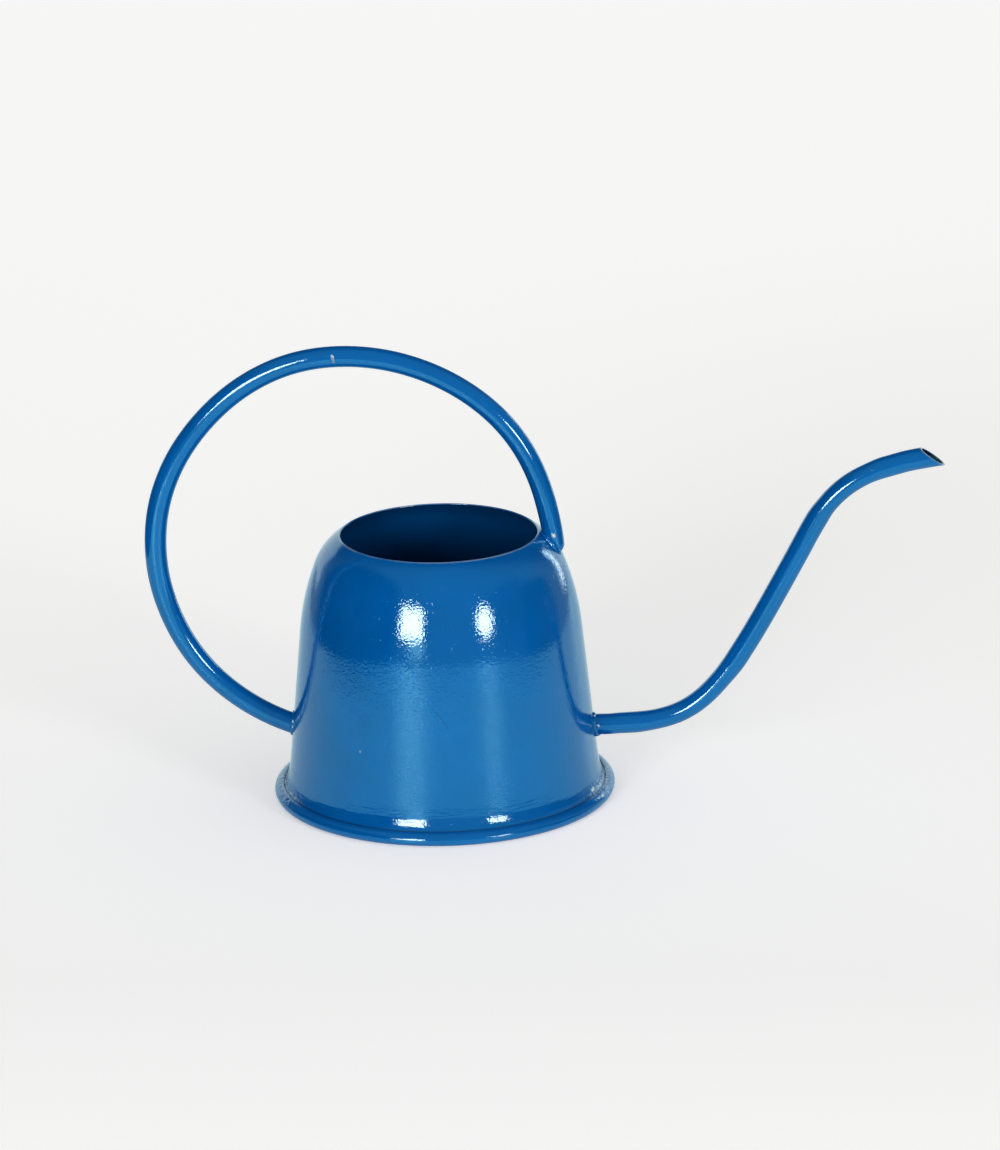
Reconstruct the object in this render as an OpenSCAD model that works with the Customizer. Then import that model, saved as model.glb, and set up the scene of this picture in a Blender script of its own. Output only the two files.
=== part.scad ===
// Indoor watering can in painted steel: a spun bell body with a rolled foot, a ring handle
// of bent tube and a swan-neck spout. Millimetres, +Z up, +X towards the spout. The origin
// is the centre of the foot, on the surface that the can stands on. The axes of the handle
// and of the spout lie in the plane y = 0.

/* [Body] */
// Height of the mouth's edge above the ground
body_h = 133.2; // [126:0.1:145]
// Outer diameter of the mouth
mouth_d = 97.6; // [90:0.1:104]
// Lean of the wall from upright, in degrees
wall_lean = 5.7; // [5:0.1:6.5]
// Thickness of the body's sheet
body_t = 0.8; // [0.6:0.1:1]

/* [Shoulder] */
// Radius of the long curve where the wall turns into the shoulder
shoulder_r = 126; // [110:1:140]
// Slope from upright at which the long curve meets the tight one
shoulder_slope = 21.5; // [19:0.5:24]
// Slope from upright at the mouth's edge
mouth_slope = 60.4; // [55:0.1:66]

/* [Foot] */
// Outer diameter of the rolled foot
base_d = 169; // [155:0.5:185]
// Distance by which the foot stands out from the straight wall's line at ground level
foot_step = 6.45; // [5:0.05:8]
// Diameter of the roll's section
roll_d = 6; // [5.6:0.1:6.6]
// Height by which the roll's underside is pressed flat
foot_land = 0.1; // [0.05:0.01:0.2]
// Thickness of the base pan's sheet
pan_t = 0.8; // [0.6:0.1:1]
// Radius of the flare between the wall and the skirt
flare_r = 8; // [6:0.5:10]
// Slope of the skirt from upright
skirt_slope = 50; // [47:1:53]
// Distance by which the skirt's middle passes above the roll's centre
skirt_rise = 0.86; // [0.7:0.01:0.95]
// Distance by which the skirt's end runs on past the roll's centre
skirt_past = 0.6; // [0:0.1:1]
// Gap between the roll's lip and the skirt
seam_gap = 0.1; // [0.05:0.01:0.2]
// Width of the sealing paste in the corner between the pan and the wall
seal_w = 1.6; // [1:0.1:3]

/* [Handle] */
// Outer diameter of the handle's tube
handle_d = 10; // [8:0.1:12]
// Wall of the handle's tube
handle_t = 1; // [0.8:0.1:1.5]
// Radius of the ring, to the middle of the tube
ring_r = 97.1; // [92:0.1:104]
// Drop of the ring's centre below the mouth's edge
ring_drop = 6.9; // [0:0.1:12]
// Gap between the handle's tube and the mouth's edge
mouth_gap = 1.2; // [0.8:0.1:3]

/* [Spout] */
// Outer diameter of the spout's tube
spout_d = 10.4; // [9:0.1:12]
// Wall of the spout's tube
spout_t = 0.8; // [0.6:0.1:1]
// Loss of the tube's radius where it is bent
bend_loss = 0.05; // [0.02:0.01:0.2]
// Height at which the spout's axis leaves the wall
spout_z = 32.9; // [26:0.1:45]
// Slope of the spout from level where it leaves the wall, in degrees
root_slope = 2.7; // [0:0.1:8]
// Straight length from the wall to the first bend
root_l = 17.9; // [10:0.1:30]
// Radius of the first bend, to the middle of the tube
low_bend_r = 64.5; // [45:0.5:80]
// Slope of the long straight stretch from level, in degrees
neck_slope = 61.2; // [50:0.1:70]
// Length of the long straight stretch
neck_l = 81; // [60:1:110]
// Radius of the second bend, to the middle of the tube
high_bend_r = 54.7; // [40:0.5:70]
// Slope of the tip from level, in degrees
tip_slope = 15.8; // [5:0.1:30]
// Length of the tip's straight stretch, to the middle of its cut end
tip_l = 23.8; // [15:0.1:40]
// Slant of the tip's cut from square, in degrees
tip_cut = 40; // [20:1:50]
// Length of tube that stands inside the body
spout_inset = 2; // [1:0.5:5]
// Gap all round the spout in the wall's hole
spout_fit = 0.1; // [0.05:0.01:0.2]

/* [Welds] */
// Height of a weld bead along the tube
weld_h = 1.3; // [0.8:0.1:2]
// Width of a weld bead out from the tube
weld_w = 1.2; // [0.8:0.1:2]

/* [Hidden] */
// Facets round a turn, and round a whole turn of the handle's large ring
$fn = 96;
ring_fn = 360;

paint = "#0f62ae";
paste = "dimgray";

// Greatest turn between two points of a curved outline, in degrees
step_angle = 3;
// Length and turn by which a cutting shape runs past what it cuts
over = 10;
over_turn = 5;

// ---- directions in the section plane, where [x, y] stands for [radius, height]
function dir(a) = [cos(a), sin(a)];
function dot2(a, b) = a[0] * b[0] + a[1] * b[1];
function arc(centre, r, from, to) =
    let (steps = max(2, ceil(abs(to - from) / step_angle)))
    [for (i = [0:steps]) centre + r * dir(from + (to - from) * i / steps)];
function backwards(list) = [for (i = [len(list) - 1:-1:0]) list[i]];

// ---- the roll that makes the foot
roll_r = roll_d / 2;
roll_in = roll_r - pan_t;
roll_c = [base_d / 2 - roll_r, roll_r - foot_land];
pan_z = roll_c[1] - pan_t / 2;
pan_top = pan_z + pan_t;

// ---- the body's outer skin: skirt, flare, wall, long curve, tight curve
skirt_down = [sin(skirt_slope), -cos(skirt_slope)];
skirt_out = dir(skirt_slope);
wall_up = [-sin(wall_lean), cos(wall_lean)];
wall_out = dir(wall_lean);
skirt_mid = roll_c + (skirt_rise + body_t / 2) * skirt_out;
wall_foot = [base_d / 2 - foot_step, 0];
corner = wall_foot
    + wall_up * dot2(skirt_mid - wall_foot, skirt_out) / dot2(wall_up, skirt_out);
flare_cut = flare_r * tan((skirt_slope - wall_lean) / 2);
flare_top = corner + wall_up * flare_cut;
flare_c = flare_top + wall_out * flare_r;
skirt_end = skirt_mid + skirt_down * skirt_past;

// The wall's length and the tight curve's radius are those that end at the mouth's edge
long_turn = shoulder_r * (dir(shoulder_slope) - dir(wall_lean));
tight_turn = dir(mouth_slope) - dir(shoulder_slope);
to_mouth = [mouth_d / 2, body_h] - flare_top - long_turn;
cross_all = wall_up[0] * tight_turn[1] - wall_up[1] * tight_turn[0];
wall_l = (to_mouth[0] * tight_turn[1] - to_mouth[1] * tight_turn[0]) / cross_all;
tight_r = (wall_up[0] * to_mouth[1] - wall_up[1] * to_mouth[0]) / cross_all;
long_c = flare_top + wall_up * wall_l - wall_out * shoulder_r;
tight_c = long_c + (shoulder_r - tight_r) * dir(shoulder_slope);

// Outline of the body at a depth below its outer skin, from the skirt's end to the mouth
function skin(depth) = concat(
    [skirt_end - skirt_out * depth],
    arc(flare_c, -(flare_r + depth), skirt_slope, wall_lean),
    arc(long_c, shoulder_r - depth, wall_lean, shoulder_slope),
    arc(tight_c, tight_r - depth, shoulder_slope + step_angle, mouth_slope));
function wall_radius(z) = wall_foot[0] - z * tan(wall_lean);

// ---- the roll's lip closes on the skirt, and its other end runs into the flat floor
lip_angle = skirt_slope + acos((skirt_rise + body_t / 2 + seam_gap) / roll_in);
floor_angle = 180 - asin(pan_t / 2 / roll_r);

// ---- the paste lies along the inside of the skirt, from the flare to above the roll's hollow
seal_top = flare_c - dir(skirt_slope) * (flare_r + body_t);
seal_reach = roll_in / 4;
seal_tail = skirt_mid - skirt_out * body_t - skirt_down * seal_reach;

// ---- the handle's ring
ring_c = [mouth_d / 2 + mouth_gap + handle_d / 2 - ring_r, body_h - ring_drop];
// Angles about that centre: the ring is drawn from under the shoulder to the body's axis,
// and its two joints lie before the first of these angles and after the second
ring_start_angle = -10;
ring_end_angle = 270 + asin(-ring_c[0] / ring_r);
top_joint_angle = 25;
low_joint_angle = 235;

// ---- the spout's path in the plane y = 0
root_p = [wall_radius(spout_z), spout_z];
low_turn = neck_slope - root_slope;
high_turn = neck_slope - tip_slope;
inner_l = body_t + spout_inset;
lip_l = spout_d * tan(tip_cut);

// ---- helpers
module revolve(points) rotate_extrude() polygon(points);

// Sets its children at a point of the plane y = 0, with +X turned up by a slope in degrees
module along(p, slope) translate([p[0], 0, p[1]]) rotate([0, -slope, 0]) children();

// Each carries a section along +X: straight on, bending up, or bending down. A bend is
// turned a little too far and cut where the next stretch starts.
module straight(l) rotate([0, 90, 0]) linear_extrude(height = l) children();

module bend_up(r, turn)
    difference() {
        translate([0, 0, r]) rotate([90, 0, 0])
            rotate_extrude(angle = turn + over_turn, start = -90) translate([r, 0]) children();
        past_bend_up(r, turn) block_ahead();
    }

module bend_down(r, turn)
    difference() {
        translate([0, 0, -r]) rotate([90, 0, 0])
            rotate_extrude(angle = turn + over_turn, start = 90 - turn - over_turn)
                translate([r, 0]) children();
        past_bend_down(r, turn) block_ahead();
    }

// Sets its children at the far end of such a bend
module past_bend_up(r, turn)
    translate([0, 0, r]) rotate([0, -turn, 0]) translate([0, 0, -r]) children();

module past_bend_down(r, turn)
    translate([0, 0, -r]) rotate([0, turn, 0]) translate([0, 0, r]) children();

module block_ahead() translate([0, -over, -over]) cube(2 * over);

module pipe(d, t) difference() {
    circle(d = d);
    circle(d = d - 2 * t);
}

// The whole body as if it were filled, down to the skirt's end
module filled_body() revolve(concat(skin(0), [[0, body_h], [0, skirt_end[1]]]));

// A layer that lies on the body's outer skin
module skin_layer(h) revolve(concat(skin(-h), backwards(skin(0))));

module ring_arc(d, from, to)
    along(ring_c, 0) rotate([90, 0, 0])
        rotate_extrude(angle = to - from, start = from, $fn = ring_fn)
            translate([ring_r, 0]) circle(d = d);

module ring_weld(from, to)
    difference() {
        intersection() {
            skin_layer(weld_h);
            ring_arc(handle_d + 2 * weld_w, from, to);
        }
        ring_arc(handle_d, ring_start_angle, ring_end_angle);
    }

// A rod along the spout's axis that runs through the wall
module root_rod(d)
    along(root_p, root_slope) rotate([0, 90, 0]) cylinder(h = 2 * over, d = d, center = true);

// ---- sub-parts
module body_shell()
    color(paint)
        difference() {
            revolve(concat(skin(0), backwards(skin(body_t))));
            root_rod(spout_d + 2 * spout_fit);
        }

// Flat floor whose edge is rolled over the body's skirt
module base_pan()
    color(paint)
        rotate_extrude()
            union() {
                floor_section();
                roll_section();
            }

module floor_section()
    translate([0, pan_z]) square([roll_c[0] - roll_in, pan_t]);

// A ring, open where the skirt goes in and pressed flat underneath
module roll_section()
    difference() {
        translate(roll_c) pipe(roll_d, pan_t);
        polygon(concat([roll_c], arc(roll_c, roll_d, lip_angle, floor_angle)));
        translate([roll_c[0] - roll_d, -over]) square([2 * roll_d, over]);
    }

// Fillet of sealing paste between the floor, the skirt and the roll's hollow
module seam_sealant()
    color(paste)
        revolve([[seal_top[0] - seal_w, pan_top], [seal_tail[0], pan_top], seal_tail, seal_top]);

module handle_tube()
    color(paint)
        difference() {
            ring_arc(handle_d, ring_start_angle, ring_end_angle);
            ring_arc(handle_d - 2 * handle_t,
                ring_start_angle - over_turn, ring_end_angle + over_turn);
            filled_body();
        }

module spout_tube()
    color(paint)
        along(root_p, root_slope) {
            translate([-inner_l, 0, 0]) straight(inner_l + root_l) spout_section();
            translate([root_l, 0, 0]) {
                bend_up(low_bend_r, low_turn) bent_section();
                past_bend_up(low_bend_r, low_turn) spout_neck();
            }
        }

module spout_neck() {
    straight(neck_l) spout_section();
    translate([neck_l, 0, 0]) {
        bend_down(high_bend_r, high_turn) bent_section();
        past_bend_down(high_bend_r, high_turn) spout_tip();
    }
}

module spout_tip()
    difference() {
        straight(tip_l + lip_l) spout_section();
        translate([tip_l, 0, 0]) rotate([0, -tip_cut, 0]) block_ahead();
    }

module spout_section() pipe(spout_d, spout_t);

module bent_section() pipe(spout_d - 2 * bend_loss, spout_t);

module spout_weld()
    color(paint)
        difference() {
            intersection() {
                skin_layer(weld_h);
                root_rod(spout_d + 2 * weld_w);
            }
            root_rod(spout_d);
        }

module handle_top_weld()
    color(paint) ring_weld(ring_start_angle, top_joint_angle);

module handle_bottom_weld()
    color(paint) ring_weld(low_joint_angle, ring_end_angle);

body_shell();
base_pan();
seam_sealant();
handle_tube();
spout_tube();
spout_weld();
handle_top_weld();
handle_bottom_weld();
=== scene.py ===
import math
from functools import cached_property

import bpy
import numpy as np
from bpy.props import FloatProperty, FloatVectorProperty, PointerProperty
from mathutils import Matrix, Vector


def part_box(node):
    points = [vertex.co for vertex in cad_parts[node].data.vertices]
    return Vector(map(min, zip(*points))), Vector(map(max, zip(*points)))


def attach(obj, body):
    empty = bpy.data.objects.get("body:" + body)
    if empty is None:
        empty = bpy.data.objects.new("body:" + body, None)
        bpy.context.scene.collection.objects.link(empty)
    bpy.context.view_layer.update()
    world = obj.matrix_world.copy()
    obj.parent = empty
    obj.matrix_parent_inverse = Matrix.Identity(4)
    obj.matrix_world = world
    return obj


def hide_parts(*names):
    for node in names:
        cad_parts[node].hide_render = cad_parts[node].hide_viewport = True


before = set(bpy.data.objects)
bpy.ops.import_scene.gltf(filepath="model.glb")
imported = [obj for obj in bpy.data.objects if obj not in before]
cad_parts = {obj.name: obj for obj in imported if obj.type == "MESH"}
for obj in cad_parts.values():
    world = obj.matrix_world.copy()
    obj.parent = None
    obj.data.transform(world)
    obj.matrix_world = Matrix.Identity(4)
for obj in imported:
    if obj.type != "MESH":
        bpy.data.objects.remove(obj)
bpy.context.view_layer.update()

bl_info = {
    "name": "Painted steel watering can",
    "version": (1, 0, 0),
    "blender": (4, 5, 0),
    "location": "View3D > Sidebar > Watering can",
    "description": "Builds a painted watering can, its welds, its seam and a pale studio",
    "category": "Add Mesh",
}

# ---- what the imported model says
BODY_BOX, FOOT_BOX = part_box("body_shell"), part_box("base_pan")
RING_BOX, SPOUT_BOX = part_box("handle_tube"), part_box("spout_tube")
MM = 0.001


def length(name, description, size):
    """A size, given here in millimetres and kept in metres."""
    return FloatProperty(name=name, description=description, default=size * MM,
                         unit="LENGTH", subtype="DISTANCE", precision=5)


def slope(name, description, degrees):
    """An angle, given here in degrees and kept in radians."""
    return FloatProperty(name=name, description=description, default=math.radians(degrees),
                         unit="ROTATION", subtype="ANGLE")


def colour(name, description, *default):
    """A linear colour."""
    return FloatVectorProperty(name=name, description=description, default=default,
                               subtype="COLOR", min=0, max=1)


def share(name, description, default, top=1.0):
    """A plain number from 0 to top."""
    return FloatProperty(name=name, description=description, default=default, min=0, max=top)


class CanShape(bpy.types.PropertyGroup):
    """Sizes of the can."""

    body_h: length("Body height", "Height of the mouth's edge", BODY_BOX[1].z / MM)
    mouth_d: length("Mouth", "Outer diameter of the mouth", 97.6)
    sheet: length("Sheet", "Thickness of body and floor", 0.8)
    wall_lean: slope("Wall lean", "Lean of the wall from upright", 5.7)
    shoulder_r: length("Shoulder curve", "Radius of the long curve", 126)
    shoulder_slope: slope("Shoulder slope", "Lean where the tight curve starts", 21.5)
    mouth_slope: slope("Mouth slope", "Lean of the skin at the mouth", 60.4)
    foot_d: length("Foot", "Outer diameter of the rolled foot", FOOT_BOX[1].y * 2 / MM)
    foot_step: length("Foot step", "Foot's reach past the wall", 6.45)
    roll_d: length("Roll", "Diameter of the roll's section", 6)
    foot_land: length("Foot land", "How far the roll is pressed flat", 0.1)
    flare_r: length("Flare", "Radius between the wall and the skirt", 11)
    skirt_slope: slope("Skirt slope", "Lean of the skirt", 50)
    skirt_rise: length("Skirt rise", "Skirt over the roll's centre", 0.86)
    skirt_past: length("Skirt end", "Skirt past that centre", 0.6)
    seam_gap: length("Seam gap", "Gap between lip and skirt", 0.1)
    seal_w: length("Sealing paste", "Width of the paste on the floor", 1.6)
    handle_d: length("Handle tube", "Diameter of the handle's tube",
                     (RING_BOX[1].y - RING_BOX[0].y) / MM)
    ring_drop: length("Ring drop", "Ring centre below the mouth's edge", 6.9)
    ring_straight: length("Straight end", "How far the end leaves the ring", 1.2)
    spout_d: length("Spout tube", "Diameter of the spout's tube",
                    (SPOUT_BOX[1].y - SPOUT_BOX[0].y) / MM)
    spout_wall: length("Spout wall", "Wall of the spout's tube", 0.8)
    spout_z: length("Spout height", "Height of the spout's root", 32.9)
    root_slope: slope("Root slope", "Slope of the spout at its root", 2.7)
    root_l: length("Root length", "Length before the first bend", 17.9)
    low_bend_r: length("First bend", "Radius of the first bend", 64.5)
    neck_slope: slope("Neck slope", "Slope of the straight neck", 61.2)
    neck_l: length("Neck length", "Length of the straight neck", 81)
    high_bend_r: length("Second bend", "Radius of the second bend", 54.7)
    tip_slope: slope("Tip slope", "Slope of the tip", 15.8)
    tip_l: length("Tip length", "Length of the straight tip", 23.8)
    tip_cut: slope("Tip cut", "Slant of the tip's cut from square", 40)
    spout_inset: length("Spout inset", "Length of tube inside the body", 2)
    spout_fit: length("Spout fit", "Gap round the spout in its hole", 0.1)
    bend_flat: share("Bend flattening", "Share lost in a bend", 0.08)
    bead_h: length("Bead height", "Height along the tube", 1.35)
    bead_w: length("Bead width", "Width along the skin", 1.25)


class CanLook(bpy.types.PropertyGroup):
    """Colours and finishes of the can."""

    paint: colour("Paint", "Colour of the paint", 0.0, 0.103, 0.38)
    deep: colour("Deep paint", "Paint where it lies thicker", 0.0, 0.094, 0.345)
    glint: colour("Glint", "Tint of the paint's gloss", 0.11, 0.5, 0.65)
    primer: colour("Primer", "Colour that shows in a chip", 0.18, 0.23, 0.27)
    # drop: a painted highlight, near white, on top of a drop of paint
    drop: colour("Bright drop", "Top of a drop of paint", 0.80, 0.93, 1.0)
    # pale: thin paint on raw edges, chips and patches; along the raw edges it is also a painted
    # highlight
    pale: colour("Pale edge", "Thin paint on a raw edge", 0.30, 0.42, 0.54)
    # painted shade inside the can and its tubes, darker the deeper it lies; also the dark patches
    # where paint bridges the foot's seam
    bare: colour("Inside", "Thin overspray inside the can", 0.0, 0.012, 0.045)
    dull: colour("Worn paint", "Paint in a dull scratch", 0.0, 0.055, 0.23)
    # painted shade in the gap of the foot's seam
    crevice: colour("Crevice", "Dirt and shade in the seam", 0.004, 0.012, 0.032)
    paste: colour("Paste", "Colour of the sealing paste", 0.13, 0.13, 0.14)
    gloss: share("Gloss roughness", "Roughness of the paint's gloss", 0.022)
    gloss_index: share("Gloss index", "Refractive index of the paint", 1.8, 3.0)
    peel: share("Orange peel", "Height of the paint's texture in mm", 0.068)
    sag: share("Slow waves", "Height of its slow waves in mm", 0.027)
    spun: share("Spinning lines", "Height of the lines low on the wall, mm", 0.10)


class CanStage(bpy.types.PropertyGroup):
    """Floor, lamps and camera."""

    floor: colour("Floor", "Colour of the floor", 0.80, 0.80, 0.79)
    floor_glow: share("Floor glow", "White that the camera sees on it", 0.65)
    backdrop: share("Backdrop", "White that the camera sees", 0.91)
    ambient: share("Ambient", "Soft light from all round", 0.47, 4)
    room: share("Room", "Brightness of the dim room in gloss", 0.33, 4)
    left_lamp: share("Left lamp", "Brightness of the left softbox", 17.0, 100)
    right_lamp: share("Right lamp", "Brightness of the right softbox", 22.9, 100)
    mirrored: share("Mirrored lamps", "Brightness of the lamps in gloss", 54, 100)
    warmth: colour("Mirrored colour", "Lamps in gloss, against its tint", 0.96, 0.29, 0.23)
    lamp_range: length("Lamp distance", "Distance to the lamps", 2200)


# ---- small geometry helpers
def heading(angle):
    """(cos, sin) of an angle in radians, or of each in an array."""
    return np.stack([np.cos(angle), np.sin(angle)], axis=-1)


def quarter(plane):
    """(x, y) turned anticlockwise by a quarter turn: (-y, x)."""
    return np.stack([-plane[..., 1], plane[..., 0]], axis=-1)


def xyz(x, y, z):
    """Points from their three coordinates, each a number or an array."""
    return np.stack(np.broadcast_arrays(x, y, z), axis=-1)


def about_axis(radius, turn, height):
    """Points about the upright axis: (radius cos(turn), radius sin(turn), height)."""
    return xyz(radius * np.cos(turn), radius * np.sin(turn), height)


def turns(count, first=0.0):
    """Even angles round a full turn."""
    return first + np.arange(count) * 2 * math.pi / count


def mix(first, second, part):
    """first where part is 0, second where it is 1, and evenly between them."""
    return np.asarray(first) * (1 - part) + np.asarray(second) * part


def line(start, end, count):
    """Evenly spaced points between two points."""
    return mix(start, end, np.linspace(0, 1, count)[:, None])


def arc(centre, radius, start, end, count):
    """Points on a circle: centre plus radius times (cos, sin) of even angles."""
    return centre + radius * heading(np.linspace(start, end, count))


def ease(value):
    """Smooth step: 3 t squared minus 2 t cubed, with t held between 0 and 1."""
    t = np.clip(value, 0, 1)
    return t * t * (3 - 2 * t)


def unit(vectors):
    """Vectors divided by their lengths."""
    return vectors / np.linalg.norm(vectors, axis=-1, keepdims=True)


def beside(vectors, others):
    """What is left of vectors square to the others, as unit vectors."""
    along = np.sum(vectors * others, axis=-1, keepdims=True)
    return unit(vectors - along * others)


def halving(outside, count, low, high):
    """Where outside() changes from negative at low to positive at high, for count values at
    once: the bracket is halved 48 times."""
    low, high = np.full(count, low), np.full(count, high)
    for _ in range(48):
        middle = (low + high) / 2
        over = outside(middle) > 0
        low, high = np.where(over, low, middle), np.where(over, middle, high)
    return (low + high) / 2


def ripple(turn, seed, waves):
    """Uneven value from about -1 to 1 round a closed turn: a sum of sines of whole numbers of
    waves, with sizes and phases from the seed."""
    chance = np.random.default_rng(seed)
    total = np.zeros_like(turn, dtype=float)
    for wave in waves:
        total += chance.uniform(0.4, 1.0) * np.sin(wave * turn + chance.uniform(0, 2 * np.pi))
    return total / math.sqrt(len(waves))


def drift(place, hills):
    """How far a bent tube strays: a sum of bell curves exp(-((place - centre) / reach)^2),
    each times its size in mm."""
    centre, reach, size = np.array(hills, float).T
    return np.exp(-((place[..., None] - centre) / reach) ** 2) @ size * MM


def put(name, data):
    """Puts an object that holds the data into the scene."""
    made = bpy.data.objects.new(name, data)
    bpy.context.scene.collection.objects.link(made)
    return made


class Shell:
    """Points and faces gathered block by block."""

    def __init__(self):
        self.blocks, self.inside, self.quads, self.triangles = [], [], [], []

    def points(self, block, inside=0.0):
        """Adds points, and returns their numbers in the block's layout. inside is 1 where the
        paint is inside the can or a tube: a number, or one for each row."""
        block = np.asarray(block, float)
        numbers = sum(map(len, self.blocks)) + np.arange(block[..., 0].size)
        self.blocks.append(block.reshape(-1, 3))
        rows = np.reshape(inside, (-1,) + (1,) * (block.ndim - 2))
        self.inside.append(np.broadcast_to(rows, block.shape[:-1]).ravel())
        return numbers.reshape(block.shape[:-1])

    def grid(self, numbers, closed=False, keep=True):
        """Quads between neighbours of a block of numbers. Its columns wrap round, and its
        rows where it is closed."""
        below = np.roll(numbers, -1, axis=0)
        corners = [numbers, np.roll(numbers, -1, axis=1), np.roll(below, -1, axis=1), below]
        chosen = np.broadcast_to(keep, numbers.shape).copy()
        chosen[-1] &= closed
        self.quads.append(np.stack(corners, axis=-1)[chosen])

    def poles(self, numbers, places, inside=0.0):
        """Triangles from a block's first row to one pole and from its last to the other."""
        ends = self.points(places, inside)
        for loop, pole in ((numbers[0, ::-1], ends[0]), (numbers[-1], ends[1])):
            self.triangles.append(xyz(loop, np.roll(loop, -1), pole))

    def piece(self, name, finish, node, slot="painted_steel", crease=40):
        """Makes the piece that stands for a node. Its faces are turned so that the closed
        shell's signed volume is positive, and so look outwards."""
        points, quads = np.concatenate(self.blocks), np.concatenate(self.quads)
        split = np.concatenate([quads[:, [0, 1, 2]], quads[:, [0, 2, 3]]] + self.triangles)
        a, b, c = points[split].transpose(1, 0, 2)
        way = -1 if np.sum(a * np.cross(b, c)) < 0 else 1
        faces = [f for block in [quads] + self.triangles for f in block[:, ::way].tolist()]
        mesh = bpy.data.meshes.new(name)
        mesh.from_pydata(points.tolist(), [], faces)
        mesh.polygons.foreach_set("use_smooth", np.ones(len(faces), bool))
        mesh.set_sharp_from_angle(angle=math.radians(crease))
        mesh.attributes.new("inside", "FLOAT", "POINT").data.foreach_set(
            "value", np.concatenate(self.inside).astype(np.float32))
        mesh.materials.append(finish)
        piece = put(name, mesh)
        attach(piece, "root")
        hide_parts(node)


# ---- the bell's outline, shared by every piece that touches it
# Swell at the wall's foot: size, height, and reach above and below
SWELL, SWELL_AT, SWELL_REACH = 0.42 * MM, 10 * MM, (5.5 * MM, 2.5 * MM)
# How much further out the roll's lip stands
LIP_LIFT = 0.8 * MM
# Middle of the seam's shade: how many sheets into the lip, and how far past its end
SEAM_OUT, SEAM_PAST = 0.7, math.radians(4)
# How far along the spout's root the skin is searched for
ROOT_REACH = 8 * MM


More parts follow.
